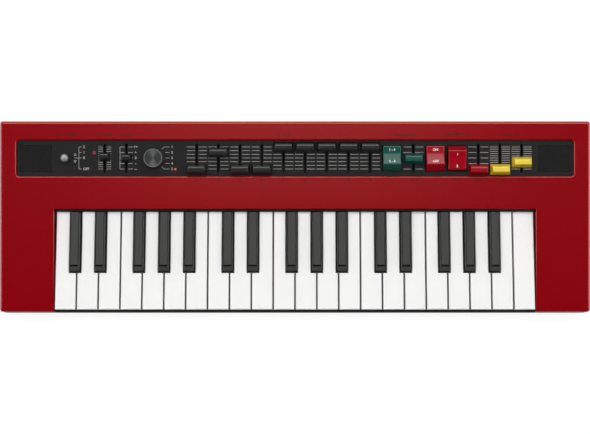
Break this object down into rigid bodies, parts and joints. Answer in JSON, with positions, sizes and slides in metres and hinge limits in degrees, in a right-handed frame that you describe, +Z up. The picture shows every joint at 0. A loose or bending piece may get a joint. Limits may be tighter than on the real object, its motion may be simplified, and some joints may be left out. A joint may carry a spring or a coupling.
{
  "type": "electronic keyboard",
  "caption": "Compact electronic organ with mini keys, a sloping control panel of drawbars, sliders, rockers and a knob, and sockets at the rear.",
  "frame": {"origin": "on the surface the feet stand on, below the middle of the instrument's box", "axes": "+X to the player's right along the keys, +Y to the back, +Z up"},
  "size_m": [0.532, 0.1724, 0.0612],
  "materials": {
    "case_red": "deep glossy red moulding",
    "base_black": "fine-grained black moulding",
    "panel_black": "satin black plate",
    "key_white": "polished white key moulding",
    "key_black": "satin-gloss black key moulding",
    "cap_slate": "dark grey moulded cap",
    "cap_green": "dark green moulded cap",
    "cap_red": "red moulded cap",
    "cap_yellow": "yellow moulded cap",
    "lever_metal": "turned bright metal",
    "board_green": "circuit board with soldered parts",
    "speaker_dark": "paper cone in a dark frame",
    "frame_grey": "dark moulded frame"
  },
  "bodies": {
    "case": {"upper_case": "case_red", "lower_case": "base_black", "control_panel": "panel_black", "keybed_frame": "frame_grey", "main_board": "board_green", "speaker_left": "speaker_dark", "speaker_right": "speaker_dark"},
    "key_01_c": {"key_01_c": "key_white"},
    "key_02_c_sharp": {"key_02_c_sharp": "key_black"},
    "key_03_d": {"key_03_d": "key_white"},
    "key_04_d_sharp": {"key_04_d_sharp": "key_black"},
    "key_05_e": {"key_05_e": "key_white"},
    "key_06_f": {"key_06_f": "key_white"},
    "key_07_f_sharp": {"key_07_f_sharp": "key_black"},
    "key_08_g": {"key_08_g": "key_white"},
    "key_09_g_sharp": {"key_09_g_sharp": "key_black"},
    "key_10_a": {"key_10_a": "key_white"},
    "key_11_a_sharp": {"key_11_a_sharp": "key_black"},
    "key_12_b": {"key_12_b": "key_white"},
    "key_13_c": {"key_13_c": "key_white"},
    "key_14_c_sharp": {"key_14_c_sharp": "key_black"},
    "key_15_d": {"key_15_d": "key_white"},
    "key_16_d_sharp": {"key_16_d_sharp": "key_black"},
    "key_17_e": {"key_17_e": "key_white"},
    "key_18_f": {"key_18_f": "key_white"},
    "key_19_f_sharp": {"key_19_f_sharp": "key_black"},
    "key_20_g": {"key_20_g": "key_white"},
    "key_21_g_sharp": {"key_21_g_sharp": "key_black"},
    "key_22_a": {"key_22_a": "key_white"},
    "key_23_a_sharp": {"key_23_a_sharp": "key_black"},
    "key_24_b": {"key_24_b": "key_white"},
    "key_25_c": {"key_25_c": "key_white"},
    "key_26_c_sharp": {"key_26_c_sharp": "key_black"},
    "key_27_d": {"key_27_d": "key_white"},
    "key_28_d_sharp": {"key_28_d_sharp": "key_black"},
    "key_29_e": {"key_29_e": "key_white"},
    "key_30_f": {"key_30_f": "key_white"},
    "key_31_f_sharp": {"key_31_f_sharp": "key_black"},
    "key_32_g": {"key_32_g": "key_white"},
    "key_33_g_sharp": {"key_33_g_sharp": "key_black"},
    "key_34_a": {"key_34_a": "key_white"},
    "key_35_a_sharp": {"key_35_a_sharp": "key_black"},
    "key_36_b": {"key_36_b": "key_white"},
    "key_37_c": {"key_37_c": "key_white"},
    "volume_slider": {"volume_slider": "cap_slate"},
    "octave_slider": {"octave_slider": "cap_slate"},
    "drawbar_1": {"drawbar_1": "cap_slate"},
    "drawbar_2": {"drawbar_2": "cap_slate"},
    "drawbar_3": {"drawbar_3": "cap_slate"},
    "drawbar_4": {"drawbar_4": "cap_slate"},
    "vibrato_slider": {"vibrato_slider": "cap_green"},
    "percussion_slider": {"percussion_slider": "cap_red"},
    "drive_slider": {"drive_slider": "cap_yellow"},
    "reverb_slider": {"reverb_slider": "cap_yellow"},
    "drawbars_5_to_9": {"drawbars_5_to_9": "cap_slate"},
    "vibrato_rocker": {"vibrato_rocker": "cap_green"},
    "percussion_rocker": {"percussion_rocker": "cap_red"},
    "percussion_type_rocker": {"percussion_type_rocker": "cap_red"},
    "voice_knob": {"voice_knob": "cap_slate"},
    "speed_lever": {"speed_lever": "lever_metal"}
  },
  "joints": [
    {"name": "key_01_c_press", "type": "hinge", "parent": "case", "child": "key_01_c", "pos_m": [-0.20685, 0.02927, 0.0334], "axis": [1, 0, 0], "range_deg": [0, 3.13], "stiffness_Nm_per_rad": 0.4, "springref_deg": -4.58},
    {"name": "key_02_c_sharp_press", "type": "hinge", "parent": "case", "child": "key_02_c_sharp", "pos_m": [-0.1985, 0.02927, 0.0334], "axis": [1, 0, 0], "range_deg": [0, 3.13], "stiffness_Nm_per_rad": 0.4, "springref_deg": -4.58},
    {"name": "key_03_d_press", "type": "hinge", "parent": "case", "child": "key_03_d", "pos_m": [-0.18715, 0.02927, 0.0334], "axis": [1, 0, 0], "range_deg": [0, 3.13], "stiffness_Nm_per_rad": 0.4, "springref_deg": -4.58},
    {"name": "key_04_d_sharp_press", "type": "hinge", "parent": "case", "child": "key_04_d_sharp", "pos_m": [-0.1758, 0.02927, 0.0334], "axis": [1, 0, 0], "range_deg": [0, 3.13], "stiffness_Nm_per_rad": 0.4, "springref_deg": -4.58},
    {"name": "key_05_e_press", "type": "hinge", "parent": "case", "child": "key_05_e", "pos_m": [-0.16745, 0.02927, 0.0334], "axis": [1, 0, 0], "range_deg": [0, 3.13], "stiffness_Nm_per_rad": 0.4, "springref_deg": -4.58},
    {"name": "key_06_f_press", "type": "hinge", "parent": "case", "child": "key_06_f", "pos_m": [-0.14775, 0.02927, 0.0334], "axis": [1, 0, 0], "range_deg": [0, 3.13], "stiffness_Nm_per_rad": 0.4, "springref_deg": -4.58},
    {"name": "key_07_f_sharp_press", "type": "hinge", "parent": "case", "child": "key_07_f_sharp", "pos_m": [-0.1409, 0.02927, 0.0334], "axis": [1, 0, 0], "range_deg": [0, 3.13], "stiffness_Nm_per_rad": 0.4, "springref_deg": -4.58},
    {"name": "key_08_g_press", "type": "hinge", "parent": "case", "child": "key_08_g", "pos_m": [-0.12805, 0.02927, 0.0334], "axis": [1, 0, 0], "range_deg": [0, 3.13], "stiffness_Nm_per_rad": 0.4, "springref_deg": -4.58},
    {"name": "key_09_g_sharp_press", "type": "hinge", "parent": "case", "child": "key_09_g_sharp", "pos_m": [-0.1182, 0.02927, 0.0334], "axis": [1, 0, 0], "range_deg": [0, 3.13], "stiffness_Nm_per_rad": 0.4, "springref_deg": -4.58},
    {"name": "key_10_a_press", "type": "hinge", "parent": "case", "child": "key_10_a", "pos_m": [-0.10835, 0.02927, 0.0334], "axis": [1, 0, 0], "range_deg": [0, 3.13], "stiffness_Nm_per_rad": 0.4, "springref_deg": -4.58},
    {"name": "key_11_a_sharp_press", "type": "hinge", "parent": "case", "child": "key_11_a_sharp", "pos_m": [-0.0955, 0.02927, 0.0334], "axis": [1, 0, 0], "range_deg": [0, 3.13], "stiffness_Nm_per_rad": 0.4, "springref_deg": -4.58},
    {"name": "key_12_b_press", "type": "hinge", "parent": "case", "child": "key_12_b", "pos_m": [-0.08865, 0.02927, 0.0334], "axis": [1, 0, 0], "range_deg": [0, 3.13], "stiffness_Nm_per_rad": 0.4, "springref_deg": -4.58},
    {"name": "key_13_c_press", "type": "hinge", "parent": "case", "child": "key_13_c", "pos_m": [-0.06895, 0.02927, 0.0334], "axis": [1, 0, 0], "range_deg": [0, 3.13], "stiffness_Nm_per_rad": 0.4, "springref_deg": -4.58},
    {"name": "key_14_c_sharp_press", "type": "hinge", "parent": "case", "child": "key_14_c_sharp", "pos_m": [-0.0606, 0.02927, 0.0334], "axis": [1, 0, 0], "range_deg": [0, 3.13], "stiffness_Nm_per_rad": 0.4, "springref_deg": -4.58},
    {"name": "key_15_d_press", "type": "hinge", "parent": "case", "child": "key_15_d", "pos_m": [-0.04925, 0.02927, 0.0334], "axis": [1, 0, 0], "range_deg": [0, 3.13], "stiffness_Nm_per_rad": 0.4, "springref_deg": -4.58},
    {"name": "key_16_d_sharp_press", "type": "hinge", "parent": "case", "child": "key_16_d_sharp", "pos_m": [-0.0379, 0.02927, 0.0334], "axis": [1, 0, 0], "range_deg": [0, 3.13], "stiffness_Nm_per_rad": 0.4, "springref_deg": -4.58},
    {"name": "key_17_e_press", "type": "hinge", "parent": "case", "child": "key_17_e", "pos_m": [-0.02955, 0.02927, 0.0334], "axis": [1, 0, 0], "range_deg": [0, 3.13], "stiffness_Nm_per_rad": 0.4, "springref_deg": -4.58},
    {"name": "key_18_f_press", "type": "hinge", "parent": "case", "child": "key_18_f", "pos_m": [-0.00985, 0.02927, 0.0334], "axis": [1, 0, 0], "range_deg": [0, 3.13], "stiffness_Nm_per_rad": 0.4, "springref_deg": -4.58},
    {"name": "key_19_f_sharp_press", "type": "hinge", "parent": "case", "child": "key_19_f_sharp", "pos_m": [-0.003, 0.02927, 0.0334], "axis": [1, 0, 0], "range_deg": [0, 3.13], "stiffness_Nm_per_rad": 0.4, "springref_deg": -4.58},
    {"name": "key_20_g_press", "type": "hinge", "parent": "case", "child": "key_20_g", "pos_m": [0.00985, 0.02927, 0.0334], "axis": [1, 0, 0], "range_deg": [0, 3.13], "stiffness_Nm_per_rad": 0.4, "springref_deg": -4.58},
    {"name": "key_21_g_sharp_press", "type": "hinge", "parent": "case", "child": "key_21_g_sharp", "pos_m": [0.0197, 0.02927, 0.0334], "axis": [1, 0, 0], "range_deg": [0, 3.13], "stiffness_Nm_per_rad": 0.4, "springref_deg": -4.58},
    {"name": "key_22_a_press", "type": "hinge", "parent": "case", "child": "key_22_a", "pos_m": [0.02955, 0.02927, 0.0334], "axis": [1, 0, 0], "range_deg": [0, 3.13], "stiffness_Nm_per_rad": 0.4, "springref_deg": -4.58},
    {"name": "key_23_a_sharp_press", "type": "hinge", "parent": "case", "child": "key_23_a_sharp", "pos_m": [0.0424, 0.02927, 0.0334], "axis": [1, 0, 0], "range_deg": [0, 3.13], "stiffness_Nm_per_rad": 0.4, "springref_deg": -4.58},
    {"name": "key_24_b_press", "type": "hinge", "parent": "case", "child": "key_24_b", "pos_m": [0.04925, 0.02927, 0.0334], "axis": [1, 0, 0], "range_deg": [0, 3.13], "stiffness_Nm_per_rad": 0.4, "springref_deg": -4.58},
    {"name": "key_25_c_press", "type": "hinge", "parent": "case", "child": "key_25_c", "pos_m": [0.06895, 0.02927, 0.0334], "axis": [1, 0, 0], "range_deg": [0, 3.13], "stiffness_Nm_per_rad": 0.4, "springref_deg": -4.58},
    {"name": "key_26_c_sharp_press", "type": "hinge", "parent": "case", "child": "key_26_c_sharp", "pos_m": [0.0773, 0.02927, 0.0334], "axis": [1, 0, 0], "range_deg": [0, 3.13], "stiffness_Nm_per_rad": 0.4, "springref_deg": -4.58},
    {"name": "key_27_d_press", "type": "hinge", "parent": "case", "child": "key_27_d", "pos_m": [0.08865, 0.02927, 0.0334], "axis": [1, 0, 0], "range_deg": [0, 3.13], "stiffness_Nm_per_rad": 0.4, "springref_deg": -4.58},
    {"name": "key_28_d_sharp_press", "type": "hinge", "parent": "case", "child": "key_28_d_sharp", "pos_m": [0.1, 0.02927, 0.0334], "axis": [1, 0, 0], "range_deg": [0, 3.13], "stiffness_Nm_per_rad": 0.4, "springref_deg": -4.58},
    {"name": "key_29_e_press", "type": "hinge", "parent": "case", "child": "key_29_e", "pos_m": [0.10835, 0.02927, 0.0334], "axis": [1, 0, 0], "range_deg": [0, 3.13], "stiffness_Nm_per_rad": 0.4, "springref_deg": -4.58},
    {"name": "key_30_f_press", "type": "hinge", "parent": "case", "child": "key_30_f", "pos_m": [0.12805, 0.02927, 0.0334], "axis": [1, 0, 0], "range_deg": [0, 3.13], "stiffness_Nm_per_rad": 0.4, "springref_deg": -4.58},
    {"name": "key_31_f_sharp_press", "type": "hinge", "parent": "case", "child": "key_31_f_sharp", "pos_m": [0.1349, 0.02927, 0.0334], "axis": [1, 0, 0], "range_deg": [0, 3.13], "stiffness_Nm_per_rad": 0.4, "springref_deg": -4.58},
    {"name": "key_32_g_press", "type": "hinge", "parent": "case", "child": "key_32_g", "pos_m": [0.14775, 0.02927, 0.0334], "axis": [1, 0, 0], "range_deg": [0, 3.13], "stiffness_Nm_per_rad": 0.4, "springref_deg": -4.58},
    {"name": "key_33_g_sharp_press", "type": "hinge", "parent": "case", "child": "key_33_g_sharp", "pos_m": [0.1576, 0.02927, 0.0334], "axis": [1, 0, 0], "range_deg": [0, 3.13], "stiffness_Nm_per_rad": 0.4, "springref_deg": -4.58},
    {"name": "key_34_a_press", "type": "hinge", "parent": "case", "child": "key_34_a", "pos_m": [0.16745, 0.02927, 0.0334], "axis": [1, 0, 0], "range_deg": [0, 3.13], "stiffness_Nm_per_rad": 0.4, "springref_deg": -4.58},
    {"name": "key_35_a_sharp_press", "type": "hinge", "parent": "case", "child": "key_35_a_sharp", "pos_m": [0.1803, 0.02927, 0.0334], "axis": [1, 0, 0], "range_deg": [0, 3.13], "stiffness_Nm_per_rad": 0.4, "springref_deg": -4.58},
    {"name": "key_36_b_press", "type": "hinge", "parent": "case", "child": "key_36_b", "pos_m": [0.18715, 0.02927, 0.0334], "axis": [1, 0, 0], "range_deg": [0, 3.13], "stiffness_Nm_per_rad": 0.4, "springref_deg": -4.58},
    {"name": "key_37_c_press", "type": "hinge", "parent": "case", "child": "key_37_c", "pos_m": [0.20685, 0.02927, 0.0334], "axis": [1, 0, 0], "range_deg": [0, 3.13], "stiffness_Nm_per_rad": 0.4, "springref_deg": -4.58},
    {"name": "volume_slider_travel", "type": "slide", "parent": "case", "child": "volume_slider", "axis": [0, 0.9925, 0.1225], "range_m": [-0.0118, 0.0082]},
    {"name": "octave_slider_travel", "type": "slide", "parent": "case", "child": "octave_slider", "axis": [0, 0.9925, 0.1225], "range_m": [-0.0108, 0.0092]},
    {"name": "drawbar_1_travel", "type": "slide", "parent": "case", "child": "drawbar_1", "axis": [0, 0.9925, 0.1225], "range_m": [0, 0.02]},
    {"name": "drawbar_2_travel", "type": "slide", "parent": "case", "child": "drawbar_2", "axis": [0, 0.9925, 0.1225], "range_m": [-0.0153, 0.0047]},
    {"name": "drawbar_3_travel", "type": "slide", "parent": "case", "child": "drawbar_3", "axis": [0, 0.9925, 0.1225], "range_m": [0, 0.02]},
    {"name": "drawbar_4_travel", "type": "slide", "parent": "case", "child": "drawbar_4", "axis": [0, 0.9925, 0.1225], "range_m": [0, 0.02]},
    {"name": "vibrato_slider_travel", "type": "slide", "parent": "case", "child": "vibrato_slider", "axis": [0, 0.9925, 0.1225], "range_m": [-0.0098, 0.0102]},
    {"name": "percussion_slider_travel", "type": "slide", "parent": "case", "child": "percussion_slider", "axis": [0, 0.9925, 0.1225], "range_m": [0, 0.02]},
    {"name": "drive_slider_travel", "type": "slide", "parent": "case", "child": "drive_slider", "axis": [0, 0.9925, 0.1225], "range_m": [0, 0.02]},
    {"name": "reverb_slider_travel", "type": "slide", "parent": "case", "child": "reverb_slider", "axis": [0, 0.9925, 0.1225], "range_m": [-0.0066, 0.0134]},
    {"name": "drawbars_5_to_9_travel", "type": "slide", "parent": "case", "child": "drawbars_5_to_9", "axis": [0, 0.9925, 0.1225], "range_m": [-0.02, 0]},
    {"name": "vibrato_rocker_rock", "type": "hinge", "parent": "case", "child": "vibrato_rocker", "pos_m": [0.08729, 0.05156, 0.04765], "axis": [1, 0, 0], "range_deg": [0, 26]},
    {"name": "percussion_rocker_rock", "type": "hinge", "parent": "case", "child": "percussion_rocker", "pos_m": [0.12639, 0.05156, 0.04765], "axis": [1, 0, 0], "range_deg": [0, 26]},
    {"name": "percussion_type_rocker_rock", "type": "hinge", "parent": "case", "child": "percussion_type_rocker", "pos_m": [0.14594, 0.05156, 0.04765], "axis": [1, 0, 0], "range_deg": [-26, 0]},
    {"name": "voice_knob_turn", "type": "hinge", "parent": "case", "child": "voice_knob", "pos_m": [-0.1274, 0.05119, 0.05063], "axis": [0, -0.1225, 0.9925], "range_deg": [0, 90]},
    {"name": "speed_lever_tilt", "type": "hinge", "parent": "case", "child": "speed_lever", "pos_m": [-0.2071, 0.05193, 0.04468], "axis": [1, 0, 0], "range_deg": [-11, 11], "stiffness_Nm_per_rad": 0.02}
  ]
}
